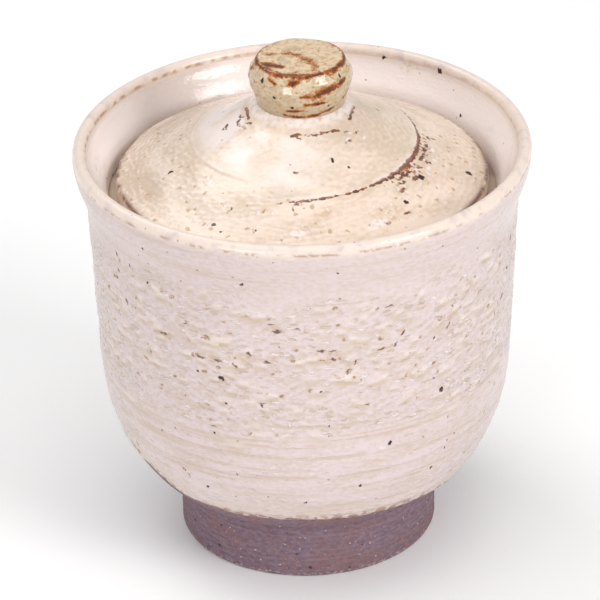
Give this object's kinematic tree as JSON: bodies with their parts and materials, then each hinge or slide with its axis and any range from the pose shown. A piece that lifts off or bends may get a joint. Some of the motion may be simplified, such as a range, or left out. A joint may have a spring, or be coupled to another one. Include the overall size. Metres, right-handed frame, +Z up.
{
  "type": "chawanmushi cup with lid",
  "caption": "Thrown stoneware steaming cup on a turned foot ring, with a flared mouth and a sunken conical drop-in lid that lifts by a short round knob",
  "frame": {"origin": "centre of the foot ring's standing face, on the cup's axis", "axes": "+Z up along the axis of the cup, which the lid lifts along; X and Y level, -Y towards the viewer of the picture"},
  "size_m": [0.09, 0.09, 0.1033],
  "materials": {
    "cream_glaze": "gloss",
    "seat_glaze": "gloss",
    "warm_glaze": "gloss",
    "iron_glaze": "gloss",
    "bare_clay": "matte"
  },
  "bodies": {
    "cup": {"cup_body": "cream_glaze", "foot_ring": "bare_clay", "lid_seat_ring": "seat_glaze"},
    "lid": {"lid_cover": "warm_glaze", "lid_knob": "iron_glaze"}
  },
  "joints": [
    {"name": "lid_lift", "type": "slide", "parent": "cup", "child": "lid", "axis": [0, 0, 1], "range_m": [0, 0.06]}
  ]
}
